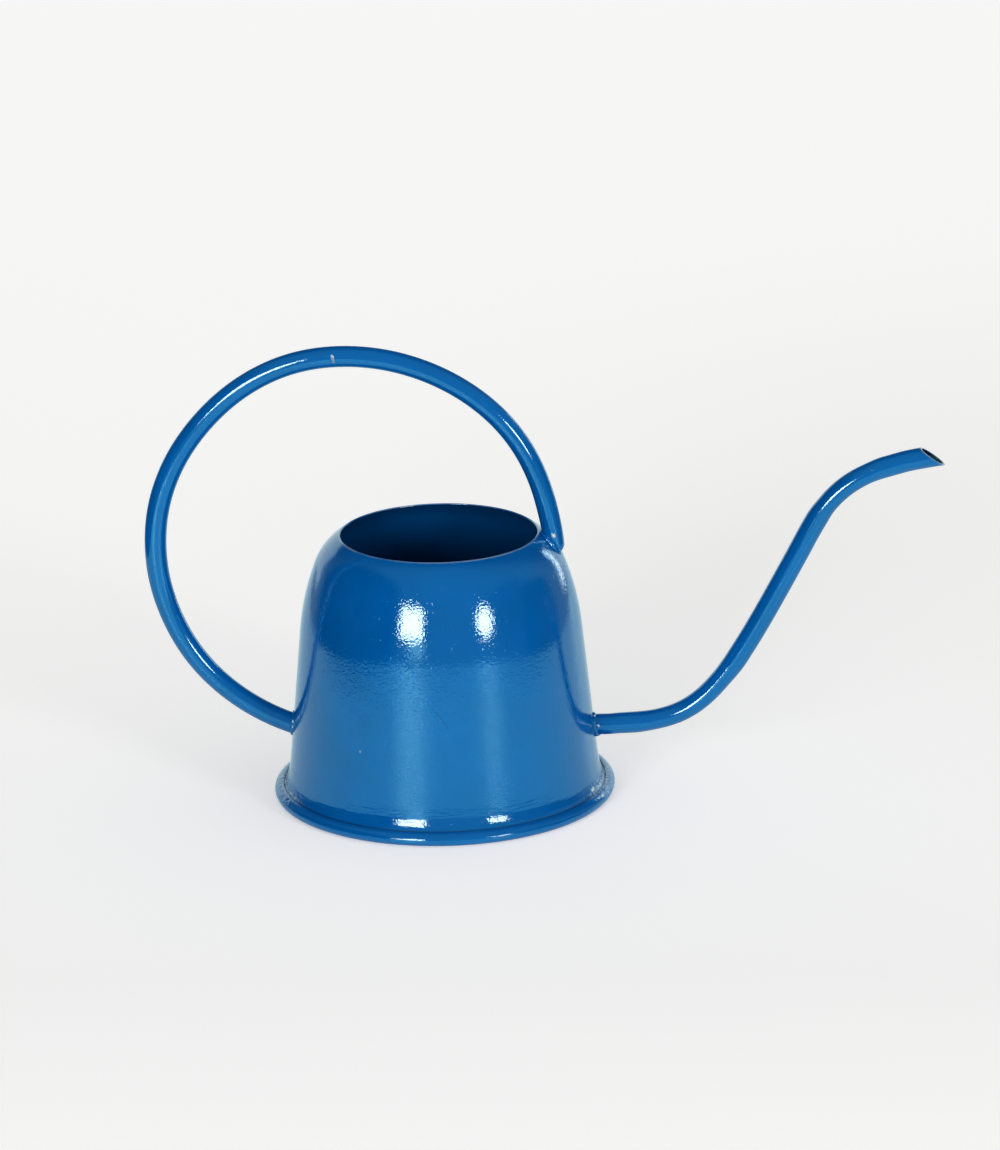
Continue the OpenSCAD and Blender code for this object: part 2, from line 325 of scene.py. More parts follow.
class Bell:
    """The body's outline, of points (radius, height). From below: a straight skirt, the
    flare's arc, the straight leaning wall, a long arc and a tight arc up to the mouth. The
    wall's length and the tight arc's radius solve one linear equation, which says that the
    outline ends at the mouth's edge."""

    def __init__(self, s):
        self.s = s
        self.roll_r = s.roll_d / 2
        self.roll_in = self.roll_r - s.sheet
        self.roll_c = np.array([s.foot_d / 2 - self.roll_r, self.roll_r - s.foot_land])
        self.pan_low = self.roll_c[1] - s.sheet / 2
        lip_in, skirt_r = self.roll_in + LIP_LIFT, s.skirt_rise + s.sheet / 2
        self.lip_angle = s.skirt_slope + math.acos((skirt_r + s.seam_gap) / lip_in)
        self.seam = self.roll_c + (lip_in + SEAM_OUT * s.sheet) * heading(self.lip_angle + SEAM_PAST)
        self.skirt_out, self.wall_out = heading(s.skirt_slope), heading(s.wall_lean)
        self.skirt_down, wall_up = -quarter(self.skirt_out), quarter(self.wall_out)
        self.skirt_mid = self.roll_c + skirt_r * self.skirt_out
        self.skirt_end = self.skirt_mid + self.skirt_down * s.skirt_past
        wall_foot = np.array([s.foot_d / 2 - s.foot_step, 0])
        rise = (self.skirt_mid - wall_foot) @ self.skirt_out / (wall_up @ self.skirt_out)
        self.flare_top = wall_foot + wall_up * (
            rise + s.flare_r * math.tan((s.skirt_slope - s.wall_lean) / 2))
        self.flare_c = self.flare_top + self.wall_out * s.flare_r
        shoulder_out = heading(s.shoulder_slope)
        long_turn = s.shoulder_r * (shoulder_out - self.wall_out)
        tight_turn = heading(s.mouth_slope) - shoulder_out
        mouth = np.array([s.mouth_d / 2, s.body_h])
        wall_l, self.tight_r = np.linalg.solve(
            np.stack([wall_up, tight_turn], axis=1), mouth - self.flare_top - long_turn)
        self.wall_end = self.flare_top + wall_up * wall_l
        self.long_c = self.wall_end - self.wall_out * s.shoulder_r
        self.tight_c = self.long_c + (s.shoulder_r - self.tight_r) * shoulder_out
        self.fine = self.skin(0, 12)
        self.root = np.array([self.radius(s.spout_z), 0, s.spout_z])
        self.root_up = np.insert(quarter(heading(s.root_slope)), 1, 0)

    def skin(self, depth, finer=1):
        """The outline at a depth under the skin: each arc keeps its centre. The wall's foot
        swells out by a bell curve of the height."""
        s = self.s
        inward = self.wall_out * depth
        outline = np.concatenate([
            [self.skirt_end - self.skirt_out * depth],
            arc(self.flare_c, -(s.flare_r + depth), s.skirt_slope, s.wall_lean, 18 * finer),
            line(self.flare_top - inward, self.wall_end - inward, 60 * finer)[1:-1],
            arc(self.long_c, s.shoulder_r - depth, s.wall_lean, s.shoulder_slope, 30 * finer),
            arc(self.tight_c, self.tight_r - depth, s.shoulder_slope, s.mouth_slope,
                26 * finer)[1:],
        ])
        above = (outline[:, 1] - SWELL_AT) / np.where(outline[:, 1] > SWELL_AT, *SWELL_REACH)
        outline[:, 0] += SWELL * np.exp(-above ** 2)
        return outline

    def radius(self, height):
        """Radius of the outer skin at a height."""
        return np.interp(height, self.fine[:, 1], self.fine[:, 0])

    def outside(self, points):
        """How far points lie outside the outer skin, measured level."""
        return np.hypot(points[..., 0], points[..., 1]) - self.radius(points[..., 2])

    def normal(self, points):
        """The skin's outward direction: level outwards, and upright minus the slope of the
        radius, from a difference over 0.2 mm."""
        step, height = 0.1 * MM, points[..., 2:]
        lean = (self.radius(height + step) - self.radius(height - step)) / (2 * step)
        return unit(np.concatenate([unit(points[..., :2]), -lean], axis=-1))

    def round_root(self, radius, angle, inward=0.0):
        """Where the lines of a rod along the spout's root meet the skin, or a surface inward
        of it, and the rod's outward directions (cos across, sin up): root plus radius times
        the direction, slid along the root's axis."""
        out = np.cos(angle) * np.array([0, 1.0, 0]) + np.sin(angle) * self.root_up
        rod = self.root + radius * out
        axis = np.insert(heading(self.s.root_slope), 1, 0)
        slid = halving(lambda way: self.outside(rod + way[:, None] * axis) + inward,
                       len(rod), -ROOT_REACH, ROOT_REACH)
        return rod + slid[:, None] * axis, out


def spun(outline):
    """An outline of (radius, height) turned about the upright axis."""
    return about_axis(outline[:, 0, None], COLUMNS, outline[:, 1, None])


COLUMNS = turns(256, -math.pi)
# Angles across a half round edge, without its two ends
HALF_ROUND = np.linspace(0, math.pi, 9)[1:-1, None]

# ---- body: one spun sheet with a raw, slightly rounded edge and the spout's hole
HOLE_RINGS = 6
# How far the rings round the hole reach, and height of the mouth's edge in half circles
HOLE_FRAME, EDGE_RISE = 4.4 * MM, 0.7
# Slow waves in the wall: size, lowest height, heights over which they grow and, at the mouth,
# fade, and length of their change upwards
WAVE, WAVE_FROM, WAVE_GROW, WAVE_FADE, WAVE_UP = 0.03 * MM, 12 * MM, 40 * MM, 30 * MM, 19 * MM


def hole_side(shell, bell, block, depth):
    """One side of the wall round the spout's hole: rings from a block's border to the circle
    where a rod along the spout's root meets the skin at that depth. Height and turn change
    evenly from one to the other, and the radius is the skin's."""
    s = bell.s
    border = np.concatenate([block[0, :-1], block[:-1, -1], block[-1, :0:-1], block[:0:-1, 0]])
    edge = np.concatenate(shell.blocks)[border]
    angle = np.arctan2((edge - bell.root) @ bell.root_up, edge[:, 1])[:, None]
    inward = depth / math.cos(s.wall_lean)
    circle, _ = bell.round_root(s.spout_d / 2 + s.spout_fit, angle, inward)
    part = np.arange(1, HOLE_RINGS + 1)[:, None] / HOLE_RINGS
    turn = mix(*(np.arctan2(spots[:, 1], spots[:, 0]) for spots in (edge, circle)), part)
    height = mix(edge[:, 2], circle[:, 2], part)
    rings = shell.points(about_axis(bell.radius(height) - inward, turn, height), float(depth > 0))
    shell.grid(np.vstack([border, rings])[::-1 if depth else 1])
    return rings[-1]


def build_body(bell):
    """A closed outline (outer skin, half round edge at the mouth, inner skin) spun about the
    upright axis, with rings round the hole in place of a block of both skins. The radius has
    slow waves of the turn and height, because a spun sheet is never quite round."""
    s = bell.s
    outer, inner, out = bell.skin(0), bell.skin(s.sheet), heading(s.mouth_slope)
    lip = (outer[-1] + inner[-1]) / 2 + s.sheet / 2 * (
        np.cos(HALF_ROUND) * out + EDGE_RISE * np.sin(HALF_ROUND) * quarter(out))
    loop = np.concatenate([outer, lip, inner[::-1]])
    rows, count = len(loop), len(COLUMNS)
    height = loop[:, 1, None]
    part = ease((height - WAVE_FROM) / WAVE_GROW) * ease((s.body_h - height) / WAVE_FADE)
    wave = WAVE * ripple(COLUMNS, 3, (2, 3, 5, 7, 9)) * part * (1 + 0.5 * np.sin(height / WAVE_UP))
    sheet = spun(loop)
    sheet[..., :2] += unit(sheet[..., :2]) * wave[..., None]
    shell = Shell()
    numbers = shell.points(sheet, np.arange(rows) >= len(outer) + len(lip) / 2)

    reach = s.spout_d / 2 + HOLE_FRAME
    low, high = np.searchsorted(outer[:, 1], [s.spout_z - reach, s.spout_z + reach])
    side = round(reach / bell.radius(s.spout_z) * count / (2 * math.pi))
    left, right = count // 2 - side, count // 2 + side
    keep = np.ones(numbers.shape, bool)
    ends = []
    for first, last, depth in ((low, high, 0), (rows - 1 - high, rows - 1 - low, s.sheet)):
        keep[first:last, left:right] = False
        block = numbers[first:last + 1, left:right + 1][::-1 if depth else 1]
        ends.append(hole_side(shell, bell, block, depth))
    shell.grid(numbers, True, keep)
    shell.grid(np.stack(ends))
    return shell


# ---- foot: flat floor whose edge is rolled over the skirt, with paste in its corner
# Radius of the disc at the floor's middle, and gaps between floor and roll, above and below
POLE_R, JOIN_IN, JOIN_OUT = 2 * MM, 0.6 * MM, 0.4 * MM
FLOOR_STEPS, ROLL_STEPS, OUTER_STEPS = 20, 56, 72
# The paste: steps of its floor, face and back, the face's sag against its height, and how far
# it wanders
PASTE_STEPS, PASTE_SAG, PASTE_WANDER = (7, 14, 5), np.array([[0.154, -0.11]]), 0.18 * MM


def build_foot(bell):
    """An outline from pole to pole, spun about the upright axis: floor top, inside of the
    roll, half round lip, outside of the roll pressed flat at the ground, floor underside.
    Towards its end the roll's radius grows by a smooth step of the angle."""
    s, low, top = bell.s, bell.pan_low, bell.pan_low + bell.s.sheet
    c, r_out, r_in = bell.roll_c, bell.roll_r, bell.roll_in
    end = 2 * math.pi + bell.lip_angle

    def roll(radius, start, end, count):
        turn = np.linspace(start, end, count) - 2 * math.pi
        lift = LIP_LIFT * ease((turn - s.skirt_slope) / (bell.lip_angle - s.skirt_slope))
        return arc(c, (radius + lift)[:, None], start, end, count)

    inside = roll(r_in, math.pi - math.asin((top - c[1]) / r_in), end, ROLL_STEPS)
    outside = roll(r_out, end, math.pi + math.asin(s.sheet / 2 / r_out), OUTER_STEPS)
    outside[:, 1] = np.maximum(outside[:, 1], 0)
    up = heading(bell.lip_angle)
    lip = c + (r_in + LIP_LIFT + s.sheet / 2) * up - s.sheet / 2 * (
        np.cos(HALF_ROUND) * up - np.sin(HALF_ROUND) * quarter(up))
    outline = np.concatenate([
        line([POLE_R, top], [inside[0, 0] - JOIN_IN, top], FLOOR_STEPS), inside, lip, outside,
        line([outside[-1, 0] - JOIN_OUT, low], [POLE_R, low], FLOOR_STEPS)])
    shell = Shell()
    numbers = shell.points(spun(outline), np.arange(len(outline)) < FLOOR_STEPS + ROLL_STEPS)
    shell.grid(numbers)
    shell.poles(numbers, [[0, 0, top], [0, 0, low]], [1.0, 0.0])
    return shell


def build_paste(bell):
    """A closed outline spun about the upright axis: its face between floor and skirt sags by
    a half sine and wanders with the turn."""
    s = bell.s
    floor_top = bell.pan_low + s.sheet
    top = bell.flare_c - bell.skirt_out * (s.flare_r + s.sheet)
    tail = bell.skirt_mid - bell.skirt_out * s.sheet - bell.skirt_down * bell.roll_in / 4
    inner = np.array([top[0] - s.seal_w, floor_top])
    floor, face, back = PASTE_STEPS
    part = np.linspace(0, 1, face)[:, None]
    hump = np.sin(math.pi * part)
    outline = np.concatenate([
        line([tail[0], floor_top], inner, floor + 1)[:-1],
        mix(inner, top, part) + PASTE_SAG * (top[1] - floor_top) * hump,
        line(top, tail, back + 1)[1:]])
    free = np.concatenate([np.zeros((floor, 1)), hump, np.zeros((back, 1))])
    wander = PASTE_WANDER * np.abs(ripple(COLUMNS, 11, (3, 7, 13, 29, 41, 67)))
    block = spun(outline)
    block[..., :2] -= unit(block[..., :2]) * (free * wander)[..., None]
    shell = Shell()
    shell.grid(shell.points(block), True)
    return shell


# ---- handle: a ring of bent tube
TUBE = turns(48)
# How the bent ring strays outwards: centre and reach in degrees along it, size in mm
RING_DRIFT = ((1, 9, 0.48), (35, 17, 0.49), (71, 23, -0.63), (107, 13, 0.40),
              (139, 14, -0.45), (168, 11, 0.14), (184, 26, 0.15), (201, 9, -0.16),
              (239, 16, -0.31))
# The tube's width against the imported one's, and how much more of it there is in the ring's
# plane, with the centre and reach of that in degrees
RING_WIDE, RING_WIDER, RING_WIDEST, RING_REACH = 1.03, 0.055, 160, 60
# Angles along the ring: where its last stretch leaves it, and over how much, and where the
# rounded corner over the shoulder starts and ends
RING_LEAVES, RING_LEAVING = math.radians(14), 0.28
RING_CORNER = (math.radians(0.4), math.radians(-2.4))
# Degrees between which the ring meets the shoulder, and the lower wall
RING_ENDS = ((-8, 22), (262, 234))
# Depth of the handle's ends under the skin, the share of its length in short steps, and the
# numbers of short and long ones
END_DEPTH, SHORT_SHARE, SHORT_STEPS, LONG_STEPS = 0.25 * MM, 0.03, 28, 300


def ring_frame(s):
    """Centre (x, z) and radius of the handle's ring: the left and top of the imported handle
    are the centre minus and plus the ring's and the tube's radius."""
    centre_z = s.body_h - s.ring_drop
    radius = RING_BOX[1].z - centre_z - s.handle_d / 2
    return (RING_BOX[0].x + radius + s.handle_d / 2, centre_z), radius


def ring_points(s, along, around):
    """Points on the handle: centre plus (ring radius plus half width times cos(around)) in
    the ring's plane, and half width times sin(around) across it. The half width in the plane
    has a bell curve of the angle along the ring, and the radius drifts; the last stretch
    leaves the ring by the square of the way to its end, and there the outer corner is
    rounded off by a quarter circle, sqrt(1 - way^2)."""
    (x, z), radius = ring_frame(s)
    half, place = s.handle_d / 2, np.degrees(along)
    in_plane = half * (RING_WIDE + RING_WIDER * np.exp(-((place - RING_WIDEST) / RING_REACH) ** 2))
    way = np.clip((RING_CORNER[0] - along) / (RING_CORNER[0] - RING_CORNER[1]), 0, 0.96)
    in_plane = in_plane * np.where(np.cos(around) > 0, np.sqrt(1 - way ** 2), 1)
    straight = s.ring_straight * np.clip((RING_LEAVES - along) / RING_LEAVING, 0, 1.2) ** 2
    reach = radius + straight + drift(place, RING_DRIFT) + in_plane * np.cos(around)
    return xyz(x + reach * np.cos(along), RING_WIDE * half * np.sin(around), z + reach * np.sin(along))


def ring_ends(bell, around, depth=0.0):
    """Angles along the ring where the tube's lines meet the skin, or a surface that depth
    under it, at both ends."""
    return [halving(lambda along: bell.outside(ring_points(bell.s, along, around)) + depth,
                    len(around), *np.radians(bracket)) for bracket in RING_ENDS]


def build_handle(bell):
    """Tube lines from the shoulder to the lower wall, with a cap at both ends."""
    start, end = ring_ends(bell, TUBE, END_DEPTH)
    part = np.concatenate([
        np.linspace(0, SHORT_SHARE, SHORT_STEPS, endpoint=False),
        np.linspace(SHORT_SHARE, 1, LONG_STEPS)])[:, None]
    tube = ring_points(bell.s, mix(start, end, part), TUBE)
    shell = Shell()
    numbers = shell.points(tube)
    shell.grid(numbers)
    shell.poles(numbers, tube[[0, -1]].mean(axis=1))
    return shell


# ---- spout: a swan neck of bent tube with a slant-cut mouth
# How the bent neck strays upwards: centre and reach in mm from the can's axis, size in mm
NECK_DRIFT = ((82, 3, -0.17), (117, 12, -0.67), (140, 9, 0.89), (160, 14, -0.40),
              (182, 5, 0.26), (210, 9, -0.22), (233, 27, -0.17))
# Share of a bend over which its flattening comes, and how much of that makes it wider
BEND_IN, BEND_WIDEN = 0.22, 0.45
# Extra width beyond the root, and the share of that lost at the tip, each with the distance
# from the can's axis where it starts, and over how much it comes
PLUMP, PLUMP_FROM, PLUMP_OVER = 0.045, 80 * MM, 30 * MM
SLIM, SLIM_FROM, SLIM_OVER = 0.6, 200 * MM, 20 * MM
# The tip: steps, extra length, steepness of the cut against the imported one's, droop, how far
# along that starts, and its power
TIP_STEPS, TIP_MORE, CUT_STEEPER = 22, 0.35 * MM, 1.12
DROOP, DROOP_FROM, DROOP_POWER = 1.3 * MM, 10 * MM, 1.3
# The rim's rounding: how far both walls end short of the cut, and each row between them by
# its share of the wall and how far it ends short in mm
RIM_SHORT, RIM_ROWS = 0.12 * MM, ((0.12, 0.03), (0.35, 0.0), (0.65, 0.0), (0.88, 0.03))


def neck_path(bell):
    """Stations of the spout's axis: position (x, z), slope, and how much the tube is bent
    there. Lines and arcs that start and end along them, with a little drift."""
    s = bell.s
    inset = s.sheet + s.spout_inset
    place = bell.root[[0, 2]] - inset * heading(s.root_slope)
    spots, slopes, bent = [], [], []
    for size, start, end, count in (
            (inset + s.root_l, s.root_slope, s.root_slope, 12),
            (s.low_bend_r, s.root_slope, s.neck_slope, 52),
            (s.neck_l, s.neck_slope, s.neck_slope, 26),
            (s.high_bend_r, s.neck_slope, s.tip_slope, 48)):
        part = np.arange(count) / count
        slopes.append(start + part * (end - start))
        if start == end:
            spots.append(place + part[:, None] * size * heading(start))
            place = place + size * heading(start)
            bent.append(np.zeros(count))
        else:
            radius = size if end > start else -size
            centre = place + radius * quarter(heading(start))
            spots.append(centre - radius * quarter(heading(slopes[-1])))
            place = centre - radius * quarter(heading(end))
            bent.append(ease(np.minimum(part, 1 - part) / BEND_IN))
    slopes.append(np.full(TIP_STEPS, s.tip_slope))
    bent.append(np.zeros(TIP_STEPS))
    slopes = np.concatenate(slopes)
    spots = np.concatenate(spots + [np.tile(place, (TIP_STEPS, 1))])
    stray = drift(spots[:, 0] / MM, NECK_DRIFT)[:, None] * quarter(heading(slopes))
    return spots + stray, slopes[:, None], np.concatenate(bent)[:, None]


def spout_surface(bell, around, depth, short=0.0):
    """Tube points at a depth under the outer surface: station plus half width times
    cos(around) up and half width times sin(around) across. The half width grows by a smooth
    step beyond the root and shrinks by another at the tip. The last stretch ends on the
    slanted cut: its length falls by the height above the axis times tan(cut), and its end
    droops by a power of the run."""
    s = bell.s
    spots, slopes, bent = neck_path(bell)
    at = spots[:, :1]
    half = (s.spout_d / 2 - depth) * np.ones_like(around)
    wide = half * (1 + PLUMP * ease((at - PLUMP_FROM) / PLUMP_OVER) * (
        1 - SLIM * ease((at - SLIM_FROM) / SLIM_OVER)))
    up = wide * (1 - s.bend_flat * bent) * np.cos(around)
    across = wide * (1 + BEND_WIDEN * s.bend_flat * bent) * np.sin(around)
    run = np.zeros_like(up)
    run[-TIP_STEPS:] = line([0], [1], TIP_STEPS) * (
        s.tip_l + TIP_MORE - short - half * np.cos(around) * math.tan(s.tip_cut) * CUT_STEEPER)
    droop = DROOP * (np.maximum(run - DROOP_FROM, 0) / (s.tip_l - DROOP_FROM)) ** DROOP_POWER
    return xyz(at + run * np.cos(slopes) - up * np.sin(slopes), across,
               spots[:, 1:] + run * np.sin(slopes) + up * np.cos(slopes) - droop)


def build_spout(bell):
    """Outer surface, rounded rim and inner surface, as one closed loop of rows."""
    wall = bell.s.spout_wall
    outer, inner = (spout_surface(bell, TUBE, depth, RIM_SHORT) for depth in (0, wall))
    rim = [spout_surface(bell, TUBE, wall * part, lift * MM)[-1] for part, lift in RIM_ROWS]
    block = np.concatenate([outer, rim, inner[::-1]])
    shell = Shell()
    shell.grid(shell.points(block, np.arange(len(block)) >= len(outer) + len(rim) - 1), True)
    return shell


# ---- weld beads
BEAD = turns(144)
# Each bead: its node, seed, number of ripples, width and height against the plain bead's, and
# extra lumps: place and spread in radians round it, and mm along the skin and up the tube
BEADS = {
    "spout_bead": ("spout_weld", 21, 19, 0.85, 0.95, (
        (4.71, 0.7, -0.35, 1.3), (3.5, 0.25, 0.1, 0.5), (2.5, 0.2, 0.35, 0.0))),
    "shoulder_bead": ("handle_top_weld", 22, 23, 1.0, 1.0, (
        (0.0, 0.55, 0.2, 0.9), (4.6, 0.22, 0.7, 0.9))),
    "wall_bead": ("handle_bottom_weld", 23, 25, 0.75, 0.7, ((4.9, 0.2, 0.25, 0.4),)),
}
# The section: angle past a quarter turn at both ends, steps, power of its roundness, and how
# far it closes under skin and tube
PAST, BEAD_ROWS, BEAD_POWER, BEAD_UNDER = 0.12, 13, 0.8, 0.18 * MM


def build_bead(s, joint, seed, ripples, wide, tall, lumps):
    """A bead in the corner between tube and skin: root plus width times cos to a power along
    the skin plus height times sin to that power up the tube, closed under both. Width and
    height carry the weld's ripples, a slow unevenness, and lumps: each a bell curve
    exp(-((turn - place) / spread)^2)."""
    root, tube_out, skin_out = joint
    along_skin, up_tube = beside(tube_out, skin_out), beside(skin_out, tube_out)
    ridges = np.abs(np.sin(ripples * BEAD / 2 + 0.8 * np.sin(BEAD) + 0.5 * np.sin(3 * BEAD)))
    swell = 0.92 + 0.16 * ripple(BEAD, seed, (2, 3, 5, 8)) + 0.13 * ridges
    width, height = s.bead_w * wide * swell, s.bead_h * tall * np.roll(swell, 4)
    for place, spread, out_by, up_by in lumps:
        lump = np.exp(-(np.angle(np.exp(1j * (BEAD - place))) / spread) ** 2) * MM
        width, height = width + out_by * lump, height + up_by * lump
    section = heading(np.linspace(-PAST, math.pi / 2 + PAST, BEAD_ROWS))
    section = np.sign(section) * np.abs(section) ** BEAD_POWER
    out, up = section[:, 0] * width[:, None], section[:, 1] * height[:, None]
    face = (root[:, None] + out[..., None] * along_skin[:, None] + up[..., None] * up_tube[:, None])
    under = root - BEAD_UNDER * (along_skin + up_tube)
    shell = Shell()
    shell.grid(shell.points(np.concatenate([face, under[:, None]], axis=1)), True)
    return shell


def joints(bell):
    """The curves where spout, handle's top and handle's bottom meet the skin, each with the
    outward directions of tube and skin along it."""
    root, out = bell.round_root(bell.s.spout_d / 2, BEAD[:, None])
    found = [(root, out, bell.normal(root))]
    (x, z), radius = ring_frame(bell.s)
    for along in ring_ends(bell, BEAD):
        root = ring_points(bell.s, along, BEAD)
        middle = xyz(x + radius * np.cos(along), 0, z + radius * np.sin(along))
        found.append((root, unit(root - middle), bell.normal(root)))
    return found


# ---- node maths
def both_ways(operation):
    """The methods of one operator, as it stands and reflected."""
    return (lambda self, other: self.recipe.maths(operation, self, other),
            lambda self, other: self.recipe.maths(operation, other, self))


class Wire:
    """An output socket on which Python's operators add Math nodes."""

    __add__, __radd__ = both_ways("ADD")
    __sub__, __rsub__ = both_ways("SUBTRACT")
    __mul__, __rmul__ = both_ways("MULTIPLY")
    __truediv__, __rtruediv__ = both_ways("DIVIDE")

    def __init__(self, recipe, node, name=None):
        self.recipe, self.node = recipe, node
        self.socket = next((o for o in node.outputs if o.enabled and name in (None, o.name)), None)

    def __getitem__(self, name):
        return Wire(self.recipe, self.node, name)


class Recipe:
    """The node tree of a material or world, written as formulas."""

    def __init__(self, owner):
        owner.use_nodes = True
        self.owner, self.tree = owner, owner.node_tree
        self.tree.nodes.clear()

    def make(self, kind, settings, sockets):
        """Adds a node: its settings first, then its sockets' values or links, by name or in
        order. A colour's alpha is 1."""
        node = self.tree.nodes.new(kind)
        for name, value in settings.items():
            setattr(node, name, value)
        for name, value in (sockets.items() if isinstance(sockets, dict) else enumerate(sockets)):
            socket = node.inputs[name] if isinstance(name, int) else next(
                i for i in node.inputs if i.enabled and i.name == name)
            if isinstance(value, Wire):
                self.tree.links.new(value.socket, socket)
            else:
                socket.default_value = (*value, 1.0) if socket.type == "RGBA" else value
        return Wire(self, node)

    def surface(self, shader):
        """Links the shader to the output, and returns what the recipe is for."""
        kind = type(self.owner).__name__
        self.make("ShaderNodeOutput" + kind, {}, {"Surface": shader})
        return self.owner

    @cached_property
    def place(self):
        """Object coordinates in metres."""
        return self.make("ShaderNodeTexCoord", {}, {})["Object"]

    @cached_property
    def axes(self):
        """The three object coordinates, apart."""
        apart = self.make("ShaderNodeSeparateXYZ", {}, [self.place])
        return [apart[axis] for axis in "XYZ"]

    def maths(self, operation, *terms):
        """A Math node."""
        return self.make("ShaderNodeMath", {"operation": operation}, terms)

    def vector(self, operation, *terms):
        """A Vector Math node."""
        return self.make("ShaderNodeVectorMath", {"operation": operation}, terms)

    def measure(self, operation, *terms):
        """A Vector Math node whose result is a number."""
        return self.vector(operation, *terms)["Value"]

    def noise(self, grain, detail=2.0, roughness=0.5, stretch=(1, 1, 1)):
        """Noise whose patches are about one grain, in millimetres, across."""
        place = self.vector("MULTIPLY", self.place, stretch)
        return self.make("ShaderNodeTexNoise", {}, {
            "Vector": place, "Scale": 1 / (grain * MM), "Detail": detail, "Roughness": roughness})

    def step(self, value, low, high):
        """Smooth step from 0 at low to 1 at high."""
        return self.make("ShaderNodeMapRange", {"interpolation_type": "SMOOTHSTEP"}, {
            "Value": value, "From Min": low, "From Max": high, "To Min": 0.0, "To Max": 1.0})

    def blend(self, first, second, factor):
        """Mixes two colours."""
        return self.make("ShaderNodeMix", {"data_type": "RGBA"}, {
            "Factor": factor, "A": first, "B": second})

    def bump(self, height):
        """Bump of a height in millimetres."""
        return self.make("ShaderNodeBump", {}, {"Strength": 1.0, "Distance": MM, "Height": height})

    def glow(self, colour, strength):
        """Plain light."""
        return self.make("ShaderNodeEmission", {}, {"Color": colour, "Strength": strength})

    def streak(self, start, end, width, ragged, core):
        """1 near the line from start to end and 0 outside, with an uneven edge: one minus a
        smooth step, from core times width on, of the distance to the line's nearest point,
        which is start plus the clamped share of the way to end."""
        way = end - start
        part = self.measure("DOT_PRODUCT", self.vector("SUBTRACT", self.place, start),
                            way / (way @ way))
        held = self.make("ShaderNodeClamp", {}, {"Value": part})
        held = self.make("ShaderNodeCombineXYZ", {}, [held] * 3)
        nearest = self.vector("MULTIPLY_ADD", way, held, start)
        away = self.measure("DISTANCE", self.place, nearest)
        return 1 - self.step(away + ragged * width, core * width, 1.05 * width)


# ---- finishes
# Marks: how much of each kind shows, how high it stands in mm, and how much rougher it is. A drop is a
# real dome of paint, and its near white colour is a painted highlight
MARKS = {"primer": (0.9, -0.02, 0.35), "pale": (0.9, -0.02, 0.35), "dull": (0.6, 0, 0),
         "drop": (0.9, 0.5, 0)}
# Places where the paint is marked: start, end and half width in mm, and what shows; the drops are
# painted highlights on small domes of paint
BODY_MARKS = (
    ((-5.61, -70.68, 71.5), (0.52, -71.63, 64.13), 0.3, "dull"),
    ((0.52, -71.63, 64.13), (5.68, -72.16, 56.62), 0.5, "dull"),
    ((-37.67, -63.51, 42.5), (-37.67, -63.51, 42.0), 0.5, "pale"),
    ((4.01, -73.51, 44.33), (4.3, -73.51, 44.2), 0.3, "dull"),
    ((-20.72, 43.74, 133.2), (-14.85, 46.07, 133.2), 0.8, "pale"),
    ((74.7, -25.0, 8.0), (73.8, -27.5, 8.0), 1.4, "drop"))
FOOT_MARKS = (((79.2, -26.5, 5.6), (78.6, -28.3, 5.5), 1.2, "drop"),)
SPOUT_MARKS = (
    ((234.5, -4.0, 166.0), (236.5, -4.1, 166.5), 0.4, "pale"),
    ((76.58, -5.09, 33.96), (76.95, -5.14, 33.7), 0.9, "drop"))
HANDLE_MARKS = (
    ((-49.51, -4.7, 224.83), (-49.2, -5.0, 223.5), 0.7, "pale"),
    ((-49.2, -5.0, 223.5), (-48.62, -4.83, 221.88), 0.8, "primer"),
    ((56.37, -4.96, 132.58), (56.57, -4.96, 132.28), 1.5, "drop"))
BEAD_MARKS = (
    ((75.08, -2.64, 38.45), (75.08, -2.9, 38.45), 0.9, "drop"),
    ((-74.44, -0.95, 41.05), (-74.44, -1.2, 41.05), 0.6, "drop"),
    ((-74.25, -5.36, 37.87), (-74.3, -5.46, 37.4), 0.8, "drop"),
    ((-74.54, -6.13, 35.0), (-74.54, -6.13, 34.7), 0.5, "drop"))
# Values of a noise over which the paint gets deeper in tone, and a dust nib stands up, and the
# nibs' height in mm
DEEP_BEGINS, NIB_BEGINS, NIB_H = (0.38, 0.66), (0.78, 0.84), 0.03
# Heights in mm against a raw edge's plane over which its paler paint begins (thin paint, with a
# painted highlight along the edge), values of a noise over which that shows, and how much
RAW_BEGINS, RAW_SHOWS, RAW_DEPTH = (-0.55, -0.2), (0.3, 0.6), 0.45
# Where paint bridges the foot's seam, at its left and right: values of y in mm over which the
# bridge begins and ends, how its beginning leans with x, and how far it wanders
BRIDGE_BEGINS, BRIDGE_ENDS, BRIDGE_LEAN, BRIDGE_WANDER = (-44, -24), (0, 25), 0.09, 30
# Squares of the distance in mm over which the seam's shade ends, and the patches round it
SHADE_ENDS, PATCHES_END = (0.10, 0.50), (1.5, 6.0)
# Values of a noise over which a pale patch begins, and a bare one ends
PALE_BEGINS, BARE_ENDS = (0.48, 0.56), (0.36, 0.42)
# Heights in mm over which the spinning lines end, and the lumps on the bridge
LINES_END, LUMPS_END = (14, 24), (8, 12)
# Heights between which the painted shade inside lessens, in the body, and far above the can
INSIDE_SHADE_FADES, SHADE_NEVER_FADES = (60 * MM, 135 * MM), (1.0, 2.0)


